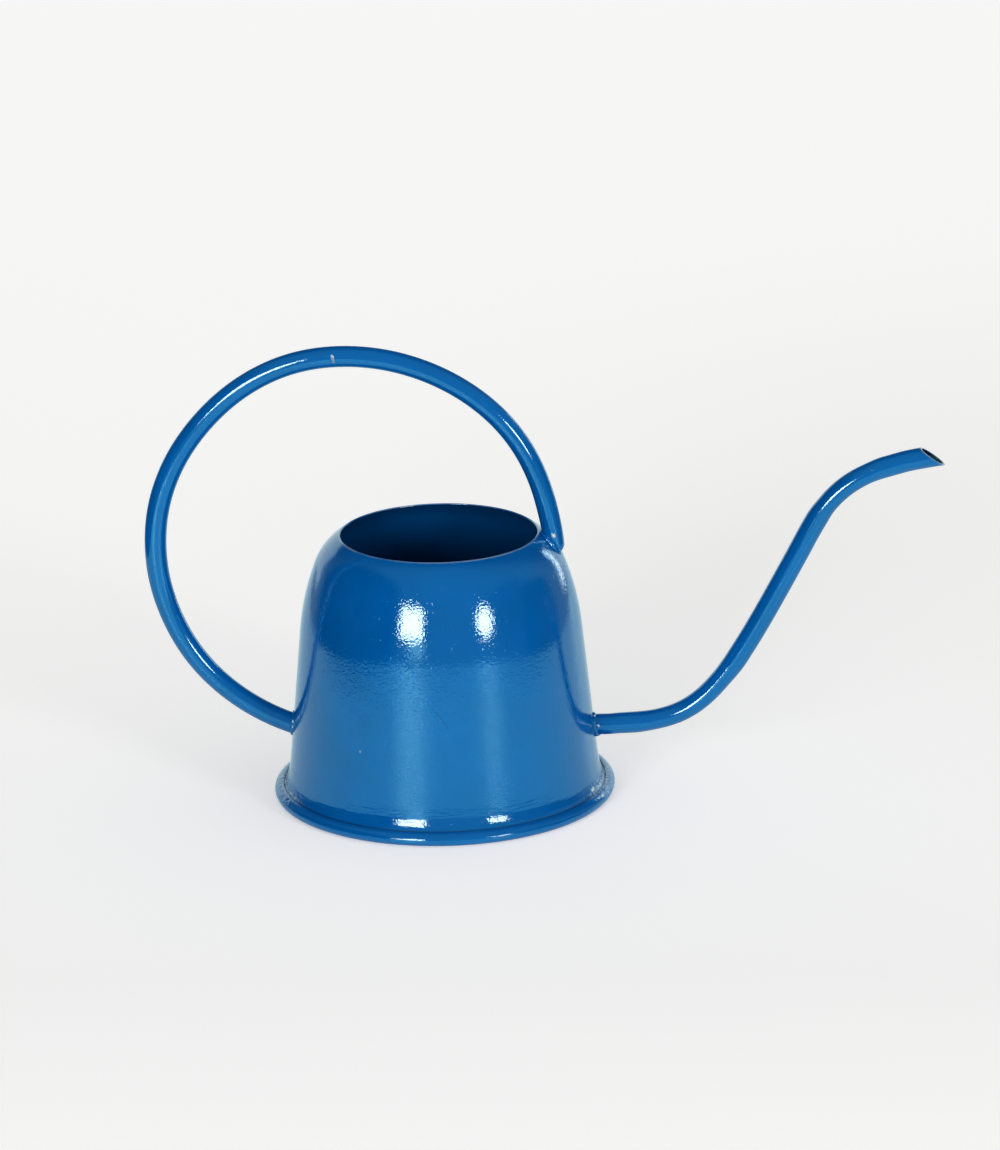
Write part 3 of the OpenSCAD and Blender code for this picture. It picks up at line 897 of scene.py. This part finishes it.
def paint_finish(name, look, marks, seam=None, edge=None, smooth=1.0, shade_fades=INSIDE_SHADE_FADES):
    """Glossy paint over steel: tinted gloss, orange peel, uneven colour, marks (a drop's colour is a
    painted highlight), painted shade inside, painted shade and lumps in the foot's seam, and paler
    paint just below a raw edge, thin paint with a painted highlight, which edge is given by a point
    and the direction away from the piece."""
    r = Recipe(bpy.data.materials.new(name))
    x, y, z = r.axes
    broad, fine = r.noise(26), r.noise(2.4, 3.0, 0.6)
    uneven = fine - 0.5
    shade = r.blend(look.paint, look.deep, r.step(broad * 0.8 + fine * 0.2, *DEEP_BEGINS))
    height = ((r.noise(1.1, 1.5) - 0.5) * look.peel
              + (r.noise(4.5, 1.0, 0.4) - 0.5) * look.sag) * smooth
    rough = look.gloss + uneven * 0.01

    # inside, painted shade: the deeper the paint lies, the darker it is painted
    within = r.make("ShaderNodeAttribute", {"attribute_name": "inside"}, {})["Fac"]
    shade = r.blend(shade, look.bare, within * (1 - 0.65 * r.step(z, *shade_fades)))

    # dust nibs under the paint
    height = height + r.step(r.noise(1.1, 0.0), *NIB_BEGINS) * NIB_H

    # each mark recolours and may raise the paint; a drop's near white colour is a painted highlight
    for start, end, width, kind in marks:
        depth, raised, rougher = MARKS[kind]
        ragged, core = (0.0, 0.0) if kind == "drop" else (uneven * 1.2, 0.55)
        mask = r.streak(np.array(start) * MM, np.array(end) * MM, width * MM, ragged, core)
        shade = r.blend(shade, getattr(look, kind), mask * depth)
        height = height + mask * raised if raised else height
        rough = rough + mask * rougher if rougher else rough

    if seam is not None:
        out = r.measure("LENGTH", r.make("ShaderNodeCombineXYZ", {}, [x, y]))
        away = (out - float(seam[0])) / MM
        drop = (z - float(seam[1])) / MM
        gap = drop * drop + away * away
        wander = (broad - 0.5) * BRIDGE_WANDER
        bridged = r.step((y - x * BRIDGE_LEAN) / MM + wander, *BRIDGE_BEGINS) * (
            1 - r.step(y / MM, *BRIDGE_ENDS))
        # painted shade along the seam's gap, weaker where paint bridges it
        near = (1 - r.step(gap + uneven * 0.3, *SHADE_ENDS)) * (1 - 0.9 * bridged)
        shade = r.blend(shade, look.crevice, near)
        rough = rough + near * 0.3
        patchy = r.noise(1.6, 2.0, 0.6)
        around = (1 - r.step(gap, *PATCHES_END)) * bridged
        shade = r.blend(shade, look.pale, r.step(patchy, *PALE_BEGINS) * around * 0.8)
        shade = r.blend(shade, look.bare, (1 - r.step(patchy, *BARE_ENDS)) * around * 0.4)
        low = 1 - r.step(z / MM, *LINES_END)
        lumps = r.noise(2.2) * bridged * (1 - r.step(z / MM, *LUMPS_END))
        lines = r.noise(1.1, 1.0, 0.5, (0.1, 0.1, 1))
        height = height + (lines - 0.5) * low * look.spun + lumps * 0.5

    if edge:
        # paler paint up to half a millimetre below the edge's plane: thin paint there, and a painted
        # highlight along the edge
        point, away = edge
        above = r.measure("DOT_PRODUCT", r.vector("SUBTRACT", r.place, point), away) / MM
        raw = r.step(above + uneven * 0.3, *RAW_BEGINS)
        shade = r.blend(shade, look.pale, raw * r.step(broad, *RAW_SHOWS) * RAW_DEPTH)

    return r.surface(r.make("ShaderNodeBsdfPrincipled", {}, {
        "Base Color": shade, "Roughness": rough, "Specular IOR Level": 1.0,
        "IOR": look.gloss_index, "Specular Tint": look.glint, "Normal": r.bump(height)}))


def paste_finish(look):
    """Sealing paste, dull and a little lumpy."""
    r = Recipe(bpy.data.materials.new("sealing_paste"))
    lumps = r.noise(1.8, 3.0, 0.6)
    shade = r.blend(look.paste, [0.6 * c for c in look.paste], r.step(lumps, 0.3, 0.7))
    return r.surface(r.make("ShaderNodeBsdfPrincipled", {}, {
        "Base Color": shade, "Roughness": 0.45 + lumps * 0.25,
        "Normal": r.bump(lumps * 0.15)}))


# ---- operators
def shape_and_look(context):
    """The bell's outline and the finishes' settings."""
    return Bell(context.scene.can_shape), context.scene.can_look


class BodyOperator(bpy.types.Operator):
    """Builds the spun bell of the body"""

    bl_idname = "can.body"
    bl_label = "Body"

    def execute(self, context):
        bell, look = shape_and_look(context)
        finish = paint_finish("body_paint", look, BODY_MARKS, bell.seam,
                              edge=((0, 0, bell.s.body_h), (0, 0, 1)))
        build_body(bell).piece("bell", finish, "body_shell")
        return {"FINISHED"}


class FootOperator(bpy.types.Operator):
    """Builds the floor with its rolled edge"""

    bl_idname = "can.foot"
    bl_label = "Rolled foot"

    def execute(self, context):
        bell, look = shape_and_look(context)
        finish = paint_finish("foot_paint", look, FOOT_MARKS, bell.seam)
        build_foot(bell).piece("rolled_foot", finish, "base_pan")
        return {"FINISHED"}


class PasteOperator(bpy.types.Operator):
    """Builds the ring of sealing paste inside the seam"""

    bl_idname = "can.paste"
    bl_label = "Sealing paste"

    def execute(self, context):
        bell, look = shape_and_look(context)
        build_paste(bell).piece("seam_paste", paste_finish(look), "seam_sealant", "sealing_paste")
        return {"FINISHED"}


class HandleOperator(bpy.types.Operator):
    """Builds the ring handle"""

    bl_idname = "can.handle"
    bl_label = "Ring handle"

    def execute(self, context):
        bell, look = shape_and_look(context)
        finish = paint_finish("handle_paint", look, HANDLE_MARKS, smooth=0.4)
        build_handle(bell).piece("ring_handle", finish, "handle_tube")
        return {"FINISHED"}


class SpoutOperator(bpy.types.Operator):
    """Builds the swan-neck spout"""

    bl_idname = "can.spout"
    bl_label = "Spout"

    def execute(self, context):
        bell, look = shape_and_look(context)
        top, low = spout_surface(bell, np.array([0.0, math.pi]), 0)[-1]
        away = unit(np.array([top[2] - low[2], 0.0, low[0] - top[0]]))
        finish = paint_finish("spout_paint", look, SPOUT_MARKS, smooth=0.4,
                              edge=((top + low) / 2, away), shade_fades=SHADE_NEVER_FADES)
        build_spout(bell).piece("swan_neck", finish, "spout_tube")
        return {"FINISHED"}


class BeadOperator(bpy.types.Operator):
    """Builds the three weld beads"""

    bl_idname = "can.beads"
    bl_label = "Weld beads"

    def execute(self, context):
        bell, look = shape_and_look(context)
        finish = paint_finish("bead_paint", look, BEAD_MARKS)
        for (name, (node, *form)), joint in zip(BEADS.items(), joints(bell)):
            build_bead(bell.s, joint, *form).piece(name, finish, node, crease=75)
        return {"FINISHED"}


# ---- stage
CAMERA_PLACE, CAMERA_LENS = (0.1275, -2.5969, 0.944), 173.96
CAMERA_HEADING, CAMERA_PITCH, CAMERA_ROLL = map(math.radians, (-2.159, -17.774, 1.24))
# Sheets by their near left and far right corners in metres
FLOOR = (-12, -12, -0.0004), (12, 12, -0.0004)
PAPER = (-0.49, -0.80, -0.0002), (0.55, 0.95, -0.0002)
SWEEP = (-1.09, 0.95, -0.0002), (1.13, 1.10, 0.65)
# Middle of the can, at which lamps and cards are aimed
AIM = Vector((0, 0, 0.08))
# Softboxes and cards: azimuth, elevation, width and height in degrees
LEFT_BOX, RIGHT_BOX = (-21.8, 13.3, 18.4, 14.0), (39.7, 12.3, 13.0, 12.8)
LIT_FLOOR = (-17.5, 2.1, 12.0, 8.3)
# Shapes in the room: the same, and brightness
ROOM_SHAPES = ((-79, 9, 4, 8, 0.10), (-70, 5, 5, 5, 0.08), (-64, 11, 4, 7, 0.07),
               (138, 10, 4.5, 26, 6.0))
ROOM_SHAPE_FAR = 1.1
# Number of sides by which a card is as good as round
ROUND = 48
# Dark sides of the room: azimuth, elevation, how far the dark is full and how far it goes,
# all in degrees, and how deep it is for gloss and for matt surfaces
DARK_SIDES = ((-80, 8, 38, 52, 0.98, 0.95), (95, -2, 14, 26, 0.8, 0.0),
              (70, 12, 6, 30, 0.6, 0.0), (180, 40, 35, 60, 0.9, 0.0))
# How much less white the floor shows close by: the first, divided by the metres behind a line
# that is the second in front of the can's axis, but by no less than the third
NEAR_LESS, NEAR_FROM, NEAR_LEAST = 0.23, 1.0, 0.75
# Faint wide shades on the floor: x, y and reach in metres, and depth
SOFT_SHADES = ((0.42, 0.40, 0.75, 0.05), (-0.40, 0.05, 0.45, 0.02))
# What reflections see of white things
PALE_CYAN, PAPER_WHITE, PAPER_SHEEN = (0.95, 1.0, 0.98), (0.70, 0.82, 0.82), (0.145, 0.31, 0.36)
# Roughness and light of the paper, and brightness of the sweep and the lit floor
PAPER_ROUGH, PAPER_GLOW, SWEEP_GLOW, FLOOR_CARD_GLOW = 0.5, 0.30, 1.15, 4.2
# Colours of the lit floor and of the room's shapes
FLOOR_CARD_TINT, ROOM_TINT = (0.78, 0.52, 0.48), (1.0, 0.88, 0.84)


def direction(azimuth, elevation):
    """The direction away from the can at an azimuth, from the front towards the spout, and
    an elevation, in degrees."""
    a, e = math.radians(azimuth), math.radians(elevation)
    return Vector((math.sin(a) * math.cos(e), -math.cos(a) * math.cos(e), math.sin(e)))


def flat_sheet(name, corners, finish, seen=False):
    """A flat piece of the stage. Either only reflections see it, or all but they do."""
    mesh = bpy.data.meshes.new(name)
    mesh.from_pydata(corners, [], [range(len(corners))])
    mesh.materials.append(finish)
    sheet = put(name, mesh)
    sheet.visible_glossy = not seen
    for ray in ("camera", "diffuse", "transmission", "volume_scatter", "shadow"):
        setattr(sheet, "visible_" + ray, seen)


def oblong(low, high):
    """The corners of a sheet that is level from left to right."""
    return [low, (high[0], *low[1:]), high, (low[0], *high[1:])]


def card(name, angles, distance, strength, tint, sides=4):
    """A glowing card for reflections, as wide and tall as two angles seen from the can. Its
    corners stand at (cos, sin) of even turns, on an ellipse through them."""
    azimuth, elevation, wide, tall = angles
    back = direction(azimuth, elevation)
    right = Vector((0, 0, 1)).cross(back).normalized()
    grow = distance / math.cos(math.pi / sides)
    turn = [2 * math.pi * (k + 0.5) / sides for k in range(sides)]
    flat_sheet(name, [
        AIM + back * distance
        + right * (grow * math.tan(math.radians(wide / 2)) * math.cos(t))
        + back.cross(right) * (grow * math.tan(math.radians(tall / 2)) * math.sin(t))
        for t in turn], glow_finish(name, strength, tint))


def softbox(name, angles, stage, brightness, sides=4):
    """An area lamp that faces the can, an oblong of 4 sides or else an ellipse, with a card
    in its place for reflections."""
    back, distance = direction(*angles[:2]), stage.lamp_range
    lamp = bpy.data.lights.new(name, "AREA")
    lamp.shape, filled = ("RECTANGLE", 1) if sides == 4 else ("ELLIPSE", math.pi / 4)
    lamp.size, lamp.size_y = (2 * distance * math.tan(math.radians(angle / 2)) for angle in angles[2:])
    lamp.energy = brightness * lamp.size * lamp.size_y * filled * math.pi
    lit = put(name, lamp)
    lit.location = AIM + back * distance
    lit.rotation_mode = "QUATERNION"
    lit.rotation_quaternion = back.to_track_quat("Z", "Y")
    lit.visible_camera = lit.visible_glossy = False
    card(name + "_card", angles, distance, stage.mirrored, stage.warmth, sides)


def place_camera():
    """Camera from its heading, pitch and roll: turned about its own line of sight, raised
    from looking straight down, and turned about the upright axis."""
    lens = bpy.data.cameras.new("camera")
    lens.lens, lens.sensor_width, lens.sensor_fit = CAMERA_LENS, 36, "AUTO"
    lens.clip_start, lens.clip_end = 0.01, 100
    camera = put("camera", lens)
    camera.matrix_world = (
        Matrix.Translation(CAMERA_PLACE) @ Matrix.Rotation(-CAMERA_HEADING, 4, "Z")
        @ Matrix.Rotation(math.pi / 2 + CAMERA_PITCH, 4, "X")
        @ Matrix.Rotation(-CAMERA_ROLL, 4, "Z"))
    bpy.context.scene.camera = camera


def glow_finish(name, strength, tint):
    """Plain light."""
    r = Recipe(bpy.data.materials.new(name))
    return r.surface(r.glow(tint, strength))


def floor_finish(stage):
    """Pale matt floor that keeps the can's shadow, with some plain white for the camera,
    less of it close by and in the faint shades."""
    r = Recipe(bpy.data.materials.new("pale_floor"))
    matt = r.make("ShaderNodeBsdfDiffuse", {}, {"Color": stage.floor})
    seen = r.make("ShaderNodeLightPath", {}, {})["Is Camera Ray"]
    behind = r.maths("MAXIMUM", r.axes[1] + NEAR_FROM, NEAR_LEAST)
    white = stage.floor_glow - NEAR_LESS / behind
    for x, y, reach, depth in SOFT_SHADES:
        away = r.measure("DISTANCE", r.place, (x, y, 0.0))
        white = white - depth * (1 - r.step(away, 0.0, reach))
    glow = r.glow((1, 1, 1), seen * white)
    return r.surface(r.make("ShaderNodeAddShader", {}, [matt, glow]))


def paper_finish():
    """White paper for reflections. Its sheen takes the mirrored lamps' warmth out again."""
    r = Recipe(bpy.data.materials.new("studio_paper"))
    paper = r.make("ShaderNodeBsdfPrincipled", {}, {
        "Base Color": PAPER_WHITE, "Roughness": PAPER_ROUGH, "Specular IOR Level": 0.0,
        "Specular Tint": (0, 0, 0), "Emission Color": PALE_CYAN, "Emission Strength": PAPER_GLOW})
    sheen = r.make("ShaderNodeBsdfGlossy", {}, {"Color": PAPER_SHEEN, "Roughness": PAPER_ROUGH})
    return r.surface(r.make("ShaderNodeAddShader", {}, [paper, sheen]))


def light_world(stage):
    """Soft light for matt surfaces, white for the camera, and a dim room for reflections,
    darker towards the dark sides: times 1 minus depth times a smooth step of the dot product
    between the direction and the dark side's."""
    r = Recipe(bpy.data.worlds.new("studio"))
    path = r.make("ShaderNodeLightPath", {}, {})
    way = r.make("ShaderNodeTexCoord", {}, {})["Generated"]
    room, even = r.maths("ADD", 0.0, stage.room), r.maths("ADD", 0.0, stage.ambient)
    for azimuth, elevation, inner, outer, depth, matt in DARK_SIDES:
        facing = r.measure("DOT_PRODUCT", way, direction(azimuth, elevation))
        dark = r.step(facing, *np.cos(np.radians((outer, inner))))
        room, even = room * (1 - depth * dark), even * (1 - matt * dark)
    strength = (path["Is Camera Ray"] * stage.backdrop + path["Is Diffuse Ray"] * even
                + path["Is Glossy Ray"] * room)
    bpy.context.scene.world = r.surface(r.make("ShaderNodeBackground", {}, {
        "Color": r.blend((1, 1, 1), PALE_CYAN, path["Is Glossy Ray"]), "Strength": strength}))


class StageOperator(bpy.types.Operator):
    """Builds the floor, the studio paper, the lamps and the camera"""

    bl_idname = "can.stage"
    bl_label = "Stage"

    def execute(self, context):
        stage = context.scene.can_stage
        flat_sheet("floor", oblong(*FLOOR), floor_finish(stage), seen=True)
        flat_sheet("paper", oblong(*PAPER), paper_finish())
        flat_sheet("sweep", oblong(*SWEEP), glow_finish("sweep", SWEEP_GLOW, PALE_CYAN))
        softbox("left_softbox", LEFT_BOX, stage, stage.left_lamp)
        softbox("right_softbox", RIGHT_BOX, stage, stage.right_lamp, ROUND)
        card("lit_floor", LIT_FLOOR, stage.lamp_range, FLOOR_CARD_GLOW, FLOOR_CARD_TINT)
        for number, (*angles, bright) in enumerate(ROOM_SHAPES):
            card(f"room_shape_{number}", angles, ROOM_SHAPE_FAR, bright, ROOM_TINT)
        light_world(stage)
        place_camera()
        context.scene.view_settings.view_transform = "Standard"
        return {"FINISHED"}


class CanPanel(bpy.types.Panel):
    """Sizes, finishes and steps of the watering can"""

    bl_idname = "VIEW3D_PT_can"
    bl_label = "Watering can"
    bl_space_type = "VIEW_3D"
    bl_region_type = "UI"
    bl_category = "Watering can"

    def draw(self, context):
        for operator in STEPS:
            self.layout.operator(operator.bl_idname)
        for name, kind in GROUPS.items():
            box = self.layout.box()
            for setting in kind.__annotations__:
                box.prop(getattr(context.scene, name), setting)


STEPS = (BodyOperator, FootOperator, PasteOperator, HandleOperator, SpoutOperator,
         BeadOperator, StageOperator)
GROUPS = {"can_shape": CanShape, "can_look": CanLook, "can_stage": CanStage}
CLASSES = (*GROUPS.values(), *STEPS, CanPanel)


def register():
    for kind in CLASSES:
        bpy.utils.register_class(kind)
    for name, kind in GROUPS.items():
        setattr(bpy.types.Scene, name, PointerProperty(type=kind))


def unregister():
    for name in GROUPS:
        delattr(bpy.types.Scene, name)
    for kind in reversed(CLASSES):
        bpy.utils.unregister_class(kind)


def main():
    """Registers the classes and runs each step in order."""
    register()
    bpy.ops.can.body()
    bpy.ops.can.foot()
    bpy.ops.can.paste()
    bpy.ops.can.handle()
    bpy.ops.can.spout()
    bpy.ops.can.beads()
    bpy.ops.can.stage()


if __name__ == "__main__":
    main()
